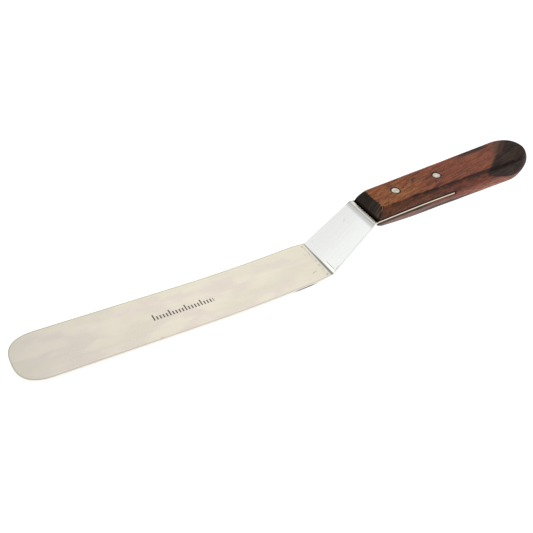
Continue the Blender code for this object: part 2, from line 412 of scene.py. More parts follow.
def mark_sheet(mesh, along, half):
    """Stores each point's place on the flat blank as the map "sheet", its distance from the edge as "rim",
    and its height over the sheet's middle as "lift"."""
    steps = np.linspace(0, RUN_ENDS[-1], 1800)
    path = np.array([sheet_place(value) for value in steps])
    points = np.empty(len(mesh.vertices) * 3)
    mesh.vertices.foreach_get("co", points)
    points = points.reshape(-1, 3)
    offset = points[:, None, [0, 2]] - path[None, :, :2]
    nearest = (offset**2).sum(axis=2).argmin(axis=1)
    offset = offset[np.arange(len(points)), nearest]
    heading = path[nearest, 2]
    place = steps[nearest] + offset[:, 0] * np.cos(heading) + offset[:, 1] * np.sin(heading)
    across = points[:, 1]
    rim = rim_distance(place, across, along, half)
    lift = offset[:, 1] * np.cos(heading) - offset[:, 0] * np.sin(heading)
    for name, values in (("rim", rim), ("lift", lift)):
        store = mesh.attributes.new(name, "FLOAT", "POINT")
        store.data.foreach_set("value", values.astype(np.float32))
    corners = np.empty(len(mesh.loops), np.int32)
    mesh.loops.foreach_get("vertex_index", corners)
    sheet_map = mesh.uv_layers.new(name="sheet")
    places = np.stack([place[corners], across[corners]], axis=1)
    sheet_map.data.foreach_set("uv", places.astype(np.float32).ravel())


# ---- handle


def face_half_width(along, level):
    """Half the width of the flat face above or below, at a distance from the handle's front."""
    part = min(1.0, along / (HANDLE_LENGTH - BUTT_LENGTH))
    width = FACE_FRONT_HALF_WIDTH + (FACE_REAR_HALF_WIDTH - FACE_FRONT_HALF_WIDTH) * part
    if level < 0 and along < LOWER_EASE_LENGTH:
        width -= LOWER_EASE * (1 - along / LOWER_EASE_LENGTH) ** 2
    return width


def level_outline(level):
    """Half the handle's outline at a height of `level` times half its thickness."""
    rise = abs(level) ** SIDE_FULLNESS
    front = FRONT_SLOPE * abs(level) ** FRONT_FULLNESS
    if level < 0:
        front = LOWER_FRONT_SLOPE * abs(level) ** LOWER_FRONT_FULLNESS
    end = HANDLE_LENGTH - BUTT_LENGTH
    butt = BUTT_LENGTH - BUTT_SLOPE * level * level

    def half_width(along):
        wide = slot_half_width(along)
        return wide + (face_half_width(along, level) - wide) * rise

    corner = FRONT_CORNER + (FACE_CORNER - FRONT_CORNER) * level * level
    along, half = [], []
    for angle in quarter_turn(HANDLE_CORNER_STEPS, first=0):
        x = front + corner * (1 - cos(angle))
        along.append(x)
        half.append(half_width(x) - corner * (1 - sin(angle)))
    start = front + corner
    for step in range(1, HANDLE_SIDE_STEPS + 1):
        x = start + (end - start) * step / HANDLE_SIDE_STEPS
        along.append(x)
        half.append(half_width(x))
    for angle in quarter_turn(BUTT_STEPS)[:-1]:
        along.append(end + butt * sin(angle) ** (2 / BUTT_FULLNESS))
        half.append(half_width(end) * cos(angle) ** (2 / BUTT_FULLNESS))
    return np.array(along), np.array(half)


def handle_levels():
    """Grids of points for the handle's outlines from its lower to its upper face, with rounded ridges."""
    spread = np.linspace(-1, 1, HANDLE_COLUMNS)
    top = HANDLE_THICKNESS / 2
    side_top = 1 - RIDGE_ROUND * (1 - sin(RIDGE_LEAN)) / top
    ridges = {}
    for side in (-1, 1):
        ridge = []
        for step in range(1, RIDGE_STEPS + 1):
            turn = RIDGE_LEAN + (pi / 2 - RIDGE_LEAN) * step / RIDGE_STEPS
            x, y = level_outline(side * side_top)
            forward = np.clip(1 - x / (2 * FRONT_SLOPE), 0, 1)
            soft = RIDGE_ROUND + (FRONT_RIDGE_ROUND - RIDGE_ROUND) * forward
            x, y = drawn_in(x, y, soft * (cos(RIDGE_LEAN) - cos(turn)))
            height = side * (top - RIDGE_ROUND * (1 - sin(turn)))
            ridge.append(row_grid(x, y, spread, height))
        ridges[side] = ridge
    side_levels = np.linspace(-side_top, side_top, SIDE_LEVELS)
    walls = [row_grid(*level_outline(level), spread, level * top) for level in side_levels]
    return ridges[-1][::-1] + walls + ridges[1]


def worked_surface(grid):
    """Sets the points of a grid off a little: slow waves of hand sanding, and saw cuts on the front."""
    worked = grid.reshape(-1, 3).copy()
    for point in worked:
        x, y, z = point
        place = Vector((x * 90, y * 160, z * 160))
        wave = WAVE_HEIGHT * (noise.noise(place) + noise.noise(place * 2.7) / 3)
        reach = np.hypot(y, z) + 1e-9
        point[1] += wave * y / reach
        point[2] += wave * z / reach
        front = FRONT_SLOPE * (abs(z) / (HANDLE_THICKNESS / 2)) ** FRONT_FULLNESS
        on_front = max(0.0, 1 - (x - front) / SAWN_SKIN)
        off_slot = min(1.0, max(0.0, abs(z) / 0.001 - 1.5))
        wide_cut = noise.noise(Vector((y * 1500, z * 60, 4.0)))
        fine_cut = noise.noise(Vector((y * 3100, z * 90, 9.0)))
        point[0] -= on_front * off_slot * (wide_cut + fine_cut / 2) * SAW_DEPTH
    return worked.reshape(grid.shape)


def make_handle(cutters):
    """The block of wood with its slot and holes."""
    levels = [worked_surface(grid) for grid in handle_levels()]
    mesh = patch_solid("spatula_handle", levels[0], levels[1:-1], levels[-1])
    mesh.transform(HANDLE_FRAME)
    handle = linked("spatula_handle", mesh)
    cut(handle, cutters)
    shade(handle, radians(34))
    return handle


# ---- pins


def pin_profile():
    """The pin's upper half as (radius, height above its middle), from the face's middle to the edge."""
    top = HANDLE_THICKNESS / 2
    edge = PIN_RADIUS - PIN_FACE
    points = [(0.0, top - PIN_DOME)]
    for part in np.linspace(0, 1, 9)[1:]:
        points.append((PIN_FACE * part, top - PIN_DOME * (1 - part * part)))
    for angle in quarter_turn(5):
        points.append((PIN_FACE + edge * sin(angle), top - edge * PIN_EDGE_DROP * (1 - cos(angle))))
    return points


def make_pin(name, node):
    """A drawn metal pin, ground flush with the wood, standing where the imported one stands."""
    profile = pin_profile()
    profile += [(radius, -height) for radius, height in reversed(profile)]
    shape = bmesh.new()
    verts = [shape.verts.new((radius, 0.0, height)) for radius, height in profile]
    edges = [shape.edges.new(pair) for pair in zip(verts, verts[1:])]
    turned = {"geom": verts + edges, "cent": (0, 0, 0), "axis": (0, 0, 1), "angle": 2 * pi, "steps": 72}
    bmesh.ops.spin(shape, **turned)
    bmesh.ops.remove_doubles(shape, verts=shape.verts, dist=1e-6)
    bmesh.ops.recalc_face_normals(shape, faces=shape.faces)
    bmesh.ops.transform(shape, matrix=pin_frame(node), verts=shape.verts)
    pin = shaped(name, shape)
    shade(pin, radians(40))
    return pin


# ---- node trees


class NodeTree:
    """A node tree, with one short method for each kind of step."""

    def __init__(self, tree):
        self.tree = tree

    def add(self, kind, inputs=None, **settings):
        node = self.tree.nodes.new(kind)
        for key, value in settings.items():
            setattr(node, key, value)
        for key, value in (inputs or {}).items():
            self.put(node.inputs[key], value)
        return node

    def put(self, socket, value):
        if isinstance(value, bpy.types.NodeSocket):
            self.tree.links.new(value, socket)
        elif socket.type == "RGBA":
            socket.default_value = (*value, 1.0)
        else:
            socket.default_value = value

    def set(self, **values):
        """Sets the named sockets of the material's surface."""
        surface = self.tree.nodes["Principled BSDF"]
        for key, value in values.items():
            self.put(surface.inputs[key.replace("_", " ")], value)

    def math(self, operation, *values):
        return self.add("ShaderNodeMath", dict(enumerate(values)), operation=operation).outputs[0]

    def plus(self, first, second):
        return self.math("ADD", first, second)

    def minus(self, first, second):
        return self.math("SUBTRACT", first, second)

    def times(self, product, *others):
        for other in others:
            product = self.math("MULTIPLY", product, other)
        return product

    def away(self, value, middle):
        """How far the value is from the middle, to either side."""
        return self.math("ABSOLUTE", self.minus(value, middle))

    def scaled(self, vector, factors):
        return self.add("ShaderNodeVectorMath", {0: vector, 1: factors}, operation="MULTIPLY").outputs[0]

    def length(self, vector):
        return self.add("ShaderNodeVectorMath", {0: vector}, operation="LENGTH").outputs["Value"]

    def placed(self, vector, location=(0, 0, 0), rotation=(0, 0, 0), scale=(1, 1, 1)):
        """The vector as it is seen from a frame that is moved, turned and scaled."""
        inputs = {"Vector": vector, "Location": location, "Rotation": rotation, "Scale": scale}
        return self.add("ShaderNodeMapping", inputs, vector_type="TEXTURE").outputs[0]

    def split(self, vector):
        return self.add("ShaderNodeSeparateXYZ", {0: vector}).outputs

    def join(self, x, y, z):
        return self.add("ShaderNodeCombineXYZ", {0: x, 1: y, 2: z}).outputs[0]

    def step(self, value, low, high):
        """0 below low, 1 above high, and smooth between; low may be above high."""
        inputs = {"Value": value, "From Min": low, "From Max": high}
        return self.add("ShaderNodeMapRange", inputs, interpolation_type="SMOOTHSTEP").outputs[0]

    def window(self, value, start, full_from, full_to, end):
        """1 between full_from and full_to, 0 outside start and end, and smooth between."""
        return self.times(self.step(value, start, full_from), self.step(value, end, full_to))

    def noise(self, vector, detail=2.0, roughness=0.5, distortion=0.0):
        inputs = {"Vector": vector, "Scale": 1.0, "Detail": detail, "Roughness": roughness}
        inputs["Distortion"] = distortion
        return self.add("ShaderNodeTexNoise", inputs).outputs[0]

    def mix(self, factor, first, second, blend="MIX"):
        node = self.add("ShaderNodeMix", data_type="RGBA", blend_type=blend)
        self.put(node.inputs[0], factor)
        self.put(node.inputs[6], first)
        self.put(node.inputs[7], second)
        return node.outputs[2]

    def tint(self, color, tone, *shares):
        """The colour, drawn to the tone by the product of the shares."""
        return self.mix(self.times(*shares), color, tone)

    def multiplied(self, color, factors):
        return self.mix(1.0, color, factors, "MULTIPLY")

    def bump(self, height, distance):
        inputs = {"Height": height, "Distance": distance, "Strength": 1.0}
        return self.add("ShaderNodeBump", inputs).outputs[0]

    def spot(self, place, centre, size, turn=0.0):
        """1 at the middle of an oval patch, falling to 0 at its rim; size is (half length, half width)."""
        local = self.placed(place, (*centre, 0), (0, 0, turn), (*size, 1))
        return self.step(self.length(local), 1.0, 0.35)


def new_material(name):
    material = bpy.data.materials.new(name)
    material.use_nodes = True
    return material, NodeTree(material.node_tree)


# ---- steel

CREAM = (0.828, 0.785, 0.682)
PINK = (0.775, 0.717, 0.655)
OLIVE = (0.765, 0.750, 0.630)
RIM_GLOW = (0.80, 0.78, 0.64)
TIP_TONE = (0.62, 0.55, 0.53)
HEEL_TONE = (0.72, 0.70, 0.60)
CRANK_REFLECTION_FAR = (0.775, 0.775, 0.765)
CRANK_REFLECTION_NEAR = (0.845, 0.850, 0.830)
STREAK_TONE = (0.55, 0.54, 0.52)

RIM_DARK_REFLECTION_FAR = (0.46, 0.46, 0.38)
RIM_DARK_REFLECTION_NEAR = (0.42, 0.36, 0.32)
RIM_REFLECTION_TOP_FAR = (0.52, 0.52, 0.44)
RIM_REFLECTION_TOP_NEAR = (1.0, 0.97, 0.90)
RIM_REFLECTION_TOP_CRANK = (0.93, 0.94, 0.91)
RIM_REFLECTION_SIDE_FAR = (0.84, 0.83, 0.76)
RIM_REFLECTION_SIDE_NEAR = (0.86, 0.81, 0.745)
RIM_REFLECTION_SIDE_CRANK = (0.76, 0.77, 0.73)

ETCHED = (0.07, 0.07, 0.06)
NICK_TONE = (0.16, 0.15, 0.14)
CREASE_MARK_AND_SHADE_TONE = (0.20, 0.21, 0.20)
BEND_HIGHLIGHT_TONE = (0.93, 0.92, 0.83)
DUST_TONE = (0.30, 0.27, 0.22)
UPPER_BEND_REFLECTION_TONE = (0.53, 0.525, 0.515)
UNDER_EDGE_SHADOW_TONE = (0.02, 0.018, 0.012)
TANG_BARE = (0.76, 0.62, 0.49)
TANG_EDGE_SHADE = (0.06, 0.032, 0.022)
TANG_SLOT_SHADE = (0.012, 0.010, 0.009)

TICK_PITCH = 0.0018
TICKS_FROM = 0.0704
TICKS_TO = 0.1055
TICKS_FOOT = -0.0027
TICK_HALF_HEIGHT = 0.0013
LONG_TICK_EXTRA = 0.0008
TICKS_IN_GROUP = 5.0
TICK_SOFTNESS = 0.00012

# Bands along the sheet: start, full from, full to, end.
BEND_HIGHLIGHT_STRIP = [LOWER_BEND_AT + past for past in (0.0009, 0.0012, 0.0019, 0.0022)]
UPPER_BEND_REFLECTION_BAND = [UPPER_BEND_AT - before for before in (0.0034, 0.0012, 0.0006, 0.0)]
DUST_AT = LOWER_BEND_AT - 0.0026
UNDER_EDGE_SHADOW = ((0.1550, -0.0160), (0.0095, 0.0010))

# Small dents and scuffs on the sheet: (along, across), (half length, half width), turn, strength.
NICKS = (
    ((0.1652, -0.0089), (0.0016, 0.0005), 0.3, 0.40),
    ((0.1668, -0.0083), (0.0008, 0.0005), -0.4, 0.35),
    ((0.1711, -0.0135), (0.0012, 0.0006), 0.5, 0.45),
    ((0.1690, 0.0060), (0.0005, 0.0022), 0.1, 0.18),
    ((0.1788, 0.0115), (0.0007, 0.0004), 0.9, 0.30),
    ((0.1767, -0.0098), (0.00022, 0.0062), 0.0, 0.70),
    ((0.1787, -0.0141), (0.0026, 0.00022), 0.08, 0.70),
    ((0.2005, 0.0052), (0.0024, 0.0010), 0.6, 0.10),
    ((0.2012, 0.0021), (0.0007, 0.0004), 0.2, 0.14),
    ((0.2108, 0.0119), (0.0026, 0.0008), 0.0, 0.85),
    ((0.0695, -0.0150), (0.0012, 0.0005), 0.0, 0.30),
)


def sheet_places(tree):
    """Where a point is on the flat blank: along from the tip, across, in from the rim, over the middle."""
    at = SimpleNamespace()
    at.place = tree.add("ShaderNodeUVMap", uv_map="sheet").outputs[0]
    at.along, at.across, _ = tree.split(at.place)
    at.rim = tree.add("ShaderNodeAttribute", attribute_name="rim").outputs["Fac"]
    at.lift = tree.add("ShaderNodeAttribute", attribute_name="lift").outputs["Fac"]
    at.on_top = tree.step(at.lift, 0.0, 0.0005)
    on_crank = tree.step(at.along, LOWER_BEND_AT - 0.0003, LOWER_BEND_AT + 0.0008)
    past_crank = tree.step(at.along, UPPER_BEND_AT - 0.0006, UPPER_BEND_AT + 0.0012)
    at.crank = tree.minus(on_crank, past_crank)
    return at


def sheet_color(tree, at, clouds):
    """Soft clouds of cream, pink and olive, a yellow glow by the far rim, duller ends, and a painted grey
    reflection on the crank, lighter toward its near side.
    """
    haze = tree.noise(tree.scaled(at.place, (24.0, 70.0, 7.0)))
    lines = tree.noise(tree.scaled(at.place, (9.0, 420.0, 1.0)), 3.0, 0.6)
    color = tree.mix(tree.step(clouds, 0.40, 0.62), CREAM, PINK)
    color = tree.tint(color, OLIVE, tree.step(haze, 0.46, 0.68), 0.6)
    off_near_rim = tree.step(at.across, -0.013, -0.006)
    color = tree.tint(color, RIM_GLOW, tree.step(at.rim, 0.0055, 0.0010), off_near_rim, 0.5)
    color = tree.tint(color, TIP_TONE, tree.step(at.along, 0.140, 0.010), 0.16)
    color = tree.tint(color, HEEL_TONE, tree.step(at.along, 0.135, 0.172), 0.40)
    # Painted reflection: the tilted crank is coloured grey, lighter toward its near side.
    crank_reflection = tree.mix(tree.step(at.across, 0.010, -0.013), CRANK_REFLECTION_FAR, CRANK_REFLECTION_NEAR)
    color = tree.mix(at.crank, color, crank_reflection)
    return tree.tint(color, STREAK_TONE, tree.step(lines, 0.35, 0.75), 0.07)


def sheet_rim(tree, at, color):
    """The rim, in painted reflections: a thin dark line and a bright lip on the near side, and grey-green
    on the rest.
    """
    near = tree.times(tree.step(at.across, 0.004, -0.004), tree.step(at.along, 0.008, 0.018))
    # Painted reflection: a thin dark line just inside the rim.
    line = tree.window(at.rim, 0.00018, 0.00030, 0.00055, 0.00085)
    dark_reflection_tone = tree.mix(near, RIM_DARK_REFLECTION_FAR, RIM_DARK_REFLECTION_NEAR)
    color = tree.tint(color, dark_reflection_tone, line, tree.minus(1.0, at.crank), 0.55)
    # Painted reflection on the rounded lip and the edge's side face.
    top = tree.mix(at.crank, tree.mix(near, RIM_REFLECTION_TOP_FAR, RIM_REFLECTION_TOP_NEAR), RIM_REFLECTION_TOP_CRANK)
    side = tree.mix(at.crank, tree.mix(near, RIM_REFLECTION_SIDE_FAR, RIM_REFLECTION_SIDE_NEAR), RIM_REFLECTION_SIDE_CRANK)
    lip = tree.mix(tree.step(at.rim, 0.00010, 0.00004), top, side)
    return tree.mix(tree.step(at.rim, 0.00030, 0.00018), color, lip)


def tick_row(tree, at):
    """A row of plain etched strokes along the blade, every fifth one longer."""
    count = tree.math("DIVIDE", tree.minus(at.along, TICKS_FROM), TICK_PITCH)
    within = tree.away(tree.math("FRACT", count), 0.5)
    group = tree.math("FRACT", tree.math("DIVIDE", tree.math("FLOOR", count), TICKS_IN_GROUP))
    long_one = tree.math("LESS_THAN", group, 0.5 / TICKS_IN_GROUP)
    reach = tree.plus(tree.times(long_one, LONG_TICK_EXTRA), TICK_HALF_HEIGHT)
    rise = tree.away(tree.minus(at.across, TICKS_FOOT), reach)
    upright = tree.step(tree.minus(rise, reach), TICK_SOFTNESS, -TICK_SOFTNESS)
    first = tree.math("GREATER_THAN", at.along, TICKS_FROM)
    last = tree.math("LESS_THAN", at.along, TICKS_TO)
    return tree.times(tree.step(within, 0.25, 0.17), upright, first, last)


def bend_marks(tree, at, color):
    """The bends: a dark crease that is partly a witness line and partly painted shade, a painted highlight
    strip above it, and a painted grey reflection on the upper bend.
    """
    # A dark crease at the lower bend. It is partly a witness line with dirt and partly painted shade in the
    # bend's hollow, wider and deeper toward the near side.
    nearness = tree.step(at.across, 0.0160, -0.0060)
    width = tree.plus(tree.times(nearness, 0.00052), 0.00030)
    past_width = tree.minus(tree.away(at.along, LOWER_BEND_AT - 0.0001), width)
    depth = tree.plus(tree.times(nearness, 0.35), 0.45)
    color = tree.tint(color, CREASE_MARK_AND_SHADE_TONE, tree.step(past_width, 0.00045, -0.0002), depth)

    # Painted highlight: a bright strip on the crank just past the lower bend, toward the near side.
    bend_highlight = tree.window(at.along, *BEND_HIGHLIGHT_STRIP)
    color = tree.tint(color, BEND_HIGHLIGHT_TONE, bend_highlight, tree.step(at.across, -0.001, -0.008))

    grit = tree.noise(tree.join(tree.times(at.along, 900.0), tree.times(at.across, 520.0), 3.0))
    dust = tree.step(tree.away(at.along, DUST_AT), 0.0011, 0.0003)
    color = tree.tint(color, DUST_TONE, dust, tree.step(grit, 0.50, 0.64), 0.50)

    # Painted reflection: a grey band on the crank just before the upper bend.
    return tree.tint(color, UPPER_BEND_REFLECTION_TONE, tree.window(at.along, *UPPER_BEND_REFLECTION_BAND), 0.92)


def sheet_nicks(tree, at, color):
    marks = 0.0
    for centre, size, turn, strength in NICKS:
        mark = tree.times(tree.spot(at.place, centre, size, turn), strength)
        marks = tree.math("MAXIMUM", marks, mark)
    return tree.tint(color, NICK_TONE, marks, at.on_top)


def tang_edge(tree, at, color):
    """The tang in its slot: bare metal along the middle of its edge, and painted shade on the rest of it.
    """
    in_handle = tree.step(at.along, HANDLE_AT - 0.0010, HANDLE_AT - 0.0009)
    bare = tree.step(tree.away(at.lift, 0.00012), 0.00052, 0.00032)
    # Painted shade on the tang's edge above and below its bare middle, in the slot's gaps.
    color = tree.mix(in_handle, color, tree.mix(bare, TANG_EDGE_SHADE, TANG_BARE))
    # Painted shade on the tang's faces inside the slot.
    return tree.tint(color, TANG_SLOT_SHADE, in_handle, tree.step(at.rim, 0.0001, 0.0003))


def steel_material():
    """Brushed stainless, laid out on the flat blank so that it follows the sheet round its bends."""
    material, tree = new_material("brushed_stainless")
    at = sheet_places(tree)
    clouds = tree.noise(tree.scaled(at.place, (46.0, 95.0, 1.0)))
    color = sheet_color(tree, at, clouds)
    color = sheet_rim(tree, at, color)
    ticks = tree.times(tick_row(tree, at), 0.86, at.on_top)
    color = tree.mix(ticks, color, ETCHED)
    color = tree.mix(at.on_top, color, bend_marks(tree, at, color))
    color = sheet_nicks(tree, at, color)
    # Painted shadow on the lower edge near the bend, where the blade rises off the floor.
    below = tree.step(at.lift, 0.00030, 0.00005)
    color = tree.tint(color, UNDER_EDGE_SHADOW_TONE, tree.spot(at.place, *UNDER_EDGE_SHADOW), 0.95, below)
    color = tang_edge(tree, at, color)

    brushing = tree.noise(tree.scaled(at.place, (30.0, 1500.0, 1.0)), 3.0, 0.6)
    roughness = tree.plus(tree.times(clouds, 0.10), 0.19)
    roughness = tree.plus(roughness, tree.times(brushing, 0.04))
    roughness = tree.plus(roughness, tree.times(ticks, 0.35))
    tangent = tree.add("ShaderNodeTangent", direction_type="UV_MAP", uv_map="sheet").outputs[0]
    fine = tree.bump(brushing, 0.000003)
    tree.set(Base_Color=color, Metallic=1.0, Roughness=roughness, Normal=fine, Tangent=tangent)
    tree.set(Anisotropic=0.35)
    return material


# ---- wood

BASE_REAR = (0.350, 0.082, 0.036)
BASE_FRONT = (0.380, 0.112, 0.040)
LIGHT_REAR = (0.480, 0.135, 0.056)
LIGHT_FRONT = (0.620, 0.210, 0.058)
GRAIN_TONE = (0.095, 0.030, 0.018)
ROSY_TONE = (0.300, 0.110, 0.085)
PATCH_TONE = (0.150, 0.048, 0.026)
GLOW_TONE = (0.600, 0.215, 0.058)
PORE_TONE = (0.040, 0.014, 0.010)
SHEEN_TONE = (0.215, 0.150, 0.145)
TOE_SHADE_TONE = (0.030, 0.017, 0.014)
FOOT_SHADE_TONE = (0.040, 0.026, 0.024)
VEIN_TONE = (0.028, 0.013, 0.011)
FLECK_TONE = (0.030, 0.013, 0.010)
WEDGE_TONE = (0.026, 0.014, 0.012)

HEART_DARK = (0.030, 0.022, 0.020)
HEART_LIGHT = (0.078, 0.052, 0.040)
HEART_BORDER = (0.090, 0.052, 0.032)
HEART_STREAK = (0.150, 0.070, 0.045)
HEART_RIDGE = (0.010, 0.007, 0.006)
HEART_FOOT = (0.008, 0.006, 0.006)

SOOT_DARK = (0.027, 0.021, 0.017)
SOOT_LIGHT = (0.120, 0.084, 0.060)
SINGED_TONE = (0.050, 0.026, 0.018)
ARC_HIGHLIGHT_TONE = (0.240, 0.140, 0.085)
SEAM_SHADE_TONE = (0.014, 0.008, 0.006)
GRAZING_SHADE_TONE = (0.010, 0.007, 0.006)

# From here on, places in the wood are in millimetres from the handle's front: x back, y across, z up.
MILLIMETRE = 0.001
LEANING_GRAIN = radians(21)
SLIGHT_GRAIN = radians(7)
HEART_AT = 100.9
SEAM_SHADE_ENDS_AT = 58.8
ARC_X = 2.7
ARC_Y = -7.9
ARC_RADIUS = 1.45

# Dark flecks and short veins in the upper face: (back, across), (half length, half width), turn, strength.
WOOD_FLECKS = (
    ((28.0, -9.1), (5.0, 1.0), 0.0, 0.90),
    ((36.0, -9.5), (6.0, 0.6), 0.0, 0.75),
    ((45.0, -8.3), (7.0, 0.7), 0.12, 0.70),
    ((25.8, 0.0), (1.2, 0.8), 0.5, 0.80),
    ((36.0, 3.8), (3.2, 0.8), 0.5, 0.70),
    ((40.3, 6.8), (4.5, 0.8), 0.2, 0.65),
    ((26.0, 8.0), (4.0, 0.7), 0.1, 0.60),
    ((47.0, -4.1), (1.5, 0.7), 0.8, 0.75),
    ((70.3, -6.2), (2.4, 0.6), 0.6, 0.60),
    ((8.0, -7.0), (3.0, 1.2), 0.2, 0.35),
    ((60.0, 6.5), (9.0, 0.6), 0.1, 0.40),
    ((78.0, 1.5), (6.0, 0.5), 0.3, 0.35),
    ((90.0, 3.5), (5.0, 0.6), 0.4, 0.35),
)

# Painted shade and reflection on the handle's sides, by the share of its height over the lower face.
SIDE_SHADE_TONES = (
    (0.00, (0.70, 0.80, 1.00)),
    (0.15, (0.90, 1.08, 1.35)),
    (0.24, (0.80, 0.98, 1.25)),
    (0.33, (0.74, 0.88, 1.10)),
    (0.42, (0.62, 0.68, 0.84)),
    (0.56, (0.40, 0.39, 0.46)),
    (0.75, (0.42, 0.40, 0.45)),
    (0.92, (0.48, 0.47, 0.52)),
)
SIDE_SHADE_FRONT = (0.84, 0.78, 0.82)
SIDE_SHADE_MIDDLE = (1.0, 1.0, 1.0)
SIDE_SHADE_PAST_TANG = (1.34, 1.30, 1.22)
SIDE_SHADE_BUTT = (1.12, 1.12, 1.08)


def wood_places(tree):
    """Where a point is in the wood, the grain's axes there, and the noises that several steps share."""
    at = SimpleNamespace()
    world = tree.add("ShaderNodeTexCoord").outputs["Object"]
    at.place = tree.placed(world, HANDLE_FRAME.translation, HANDLE_FRAME.to_euler(), (MILLIMETRE,) * 3)
    at.x, at.y, at.z = tree.split(at.place)
    at.leaning = tree.placed(at.place, rotation=(0, 0, LEANING_GRAIN))
    at.slight = tree.placed(at.place, rotation=(0, 0, SLIGHT_GRAIN))
    at.figure = tree.noise(tree.scaled(at.slight, (0.085, 0.80, 0.60)), 3.0, 0.6, 0.5)
    at.uneven = tree.minus(at.figure, 0.5)
    at.fibre = tree.noise(tree.scaled(at.slight, (0.30, 3.2, 3.2)), 3.0, 0.6)
    pores = tree.noise(tree.scaled(at.leaning, (0.55, 2.4, 2.0)), 1.5, 0.5)
    at.pore = tree.times(tree.step(pores, 0.42, 0.33), 0.60)
    normal = tree.split(tree.add("ShaderNodeNewGeometry").outputs["Normal"])
    at.facing = normal[0]
    at.on_side = tree.step(tree.math("ABSOLUTE", normal[2]), 0.85, 0.62)
    return at


def wood_figure(tree, at):
    """Orange wood at the front and redder wood behind, with bands, strokes, threads, fibres and pores."""
    bands = tree.noise(tree.scaled(at.slight, (0.022, 0.34, 0.26)), 3.0, 0.55, 0.6)
    patches = tree.noise(tree.scaled(at.slight, (0.075, 0.17, 0.17)), 2.0, 0.5, 0.4)
    threads = tree.noise(tree.scaled(at.slight, (0.040, 1.25, 1.0)), 3.0, 0.6, 0.3)
    strokes = tree.noise(tree.scaled(at.leaning, (0.12, 0.80, 0.75)), 4.0, 0.68, 1.1)
    glints = tree.noise(tree.scaled(at.leaning, (0.085, 0.62, 0.7)), 3.0, 0.62, 0.5)
    front = tree.step(tree.plus(at.x, tree.times(glints, 20.0)), 62.0, 26.0)
    rear = tree.step(at.x, 42.0, 66.0)

    base = tree.mix(front, BASE_REAR, BASE_FRONT)
    light = tree.mix(front, LIGHT_REAR, LIGHT_FRONT)
    color = tree.mix(tree.step(at.figure, 0.40, 0.64), base, light)
    color = tree.tint(color, GRAIN_TONE, tree.step(bands, 0.54, 0.38), 0.50)
    not_front = tree.minus(1.0, front)
    color = tree.tint(color, ROSY_TONE, tree.step(bands, 0.50, 0.66), not_front, 0.32)
    color = tree.tint(color, PATCH_TONE, tree.step(patches, 0.47, 0.34), 0.45)
    stroke_share = tree.minus(0.74, tree.times(rear, 0.34))
    color = tree.tint(color, GRAIN_TONE, tree.step(strokes, 0.52, 0.37), stroke_share)
    color = tree.tint(color, light, tree.step(glints, 0.54, 0.68), 0.80)

    glow_middle = tree.minus(tree.times(at.x, 0.30), 9.5)
    glow = tree.step(tree.away(at.y, glow_middle), 5.0, 1.0)
    glow = tree.times(glow, tree.step(at.x, 44.0, 30.0), tree.step(strokes, 0.36, 0.56))
    color = tree.tint(color, GLOW_TONE, glow, 0.65)

    thread_share = tree.plus(0.45, tree.times(rear, 0.25))
    color = tree.tint(color, GRAIN_TONE, tree.step(threads, 0.48, 0.38), thread_share)
    color = tree.tint(color, light, tree.step(threads, 0.54, 0.66), thread_share)
    color = tree.tint(color, light, tree.step(at.fibre, 0.35, 0.70), 0.22)
    return tree.mix(at.pore, color, PORE_TONE)


def side_shading(tree, at):
    """Painted shade and reflection that the sides' colour is multiplied by: dark at the top, lighter and
    colder lower down.
    """
    ragged_height = tree.plus(at.z, tree.times(at.uneven, 1.5))
    share = tree.math("DIVIDE", tree.plus(ragged_height, 8.0), 16.0)
    ramp = tree.add("ShaderNodeValToRGB", {"Fac": share})
    points = ramp.color_ramp.elements
    for index, (position, tone) in enumerate(SIDE_SHADE_TONES):
        point = points[index] if index < 2 else points.new(position)
        point.position = position
        point.color = (*tone, 1.0)
    front = tree.mix(tree.step(at.x, 18.0, 5.0), SIDE_SHADE_MIDDLE, SIDE_SHADE_FRONT)
    past_tang = tree.mix(tree.step(at.x, 88.0, 100.0), SIDE_SHADE_PAST_TANG, SIDE_SHADE_BUTT)
    place_tone = tree.mix(tree.step(at.x, 52.0, 66.0), front, past_tang)
    return tree.multiplied(ramp.outputs[0], place_tone)


def wood_side(tree, at, color):
    """The sides, with painted shade and reflection, a painted grey sheen below the slot, and painted shade
    on a dark toe at the front and a dark foot behind it.
    """
    color = tree.mix(at.on_side, color, tree.multiplied(color, side_shading(tree, at)))
    sheen = tree.times(tree.step(at.z, -2.0, -3.4), at.on_side, tree.window(at.x, 4.0, 12.0, 50.0, 62.0))
    color = tree.tint(color, SHEEN_TONE, sheen, 0.55)
    # Painted shade at the front of the lower side.
    toe = tree.times(tree.step(at.x, 10.0, 2.0), tree.step(at.z, -1.0, -2.2))
    color = tree.tint(color, TOE_SHADE_TONE, toe, 0.85)
    # Painted shade along the bottom of the sides, from behind the front toward the butt.
    foot_top = tree.minus(tree.times(tree.window(at.x, 26.0, 44.0, 60.0, 86.0), 2.2), 7.2)
    foot = tree.step(tree.minus(at.z, foot_top), 0.5, -0.4)
    return tree.tint(color, FOOT_SHADE_TONE, foot, tree.step(at.x, 20.0, 34.0), 0.85)


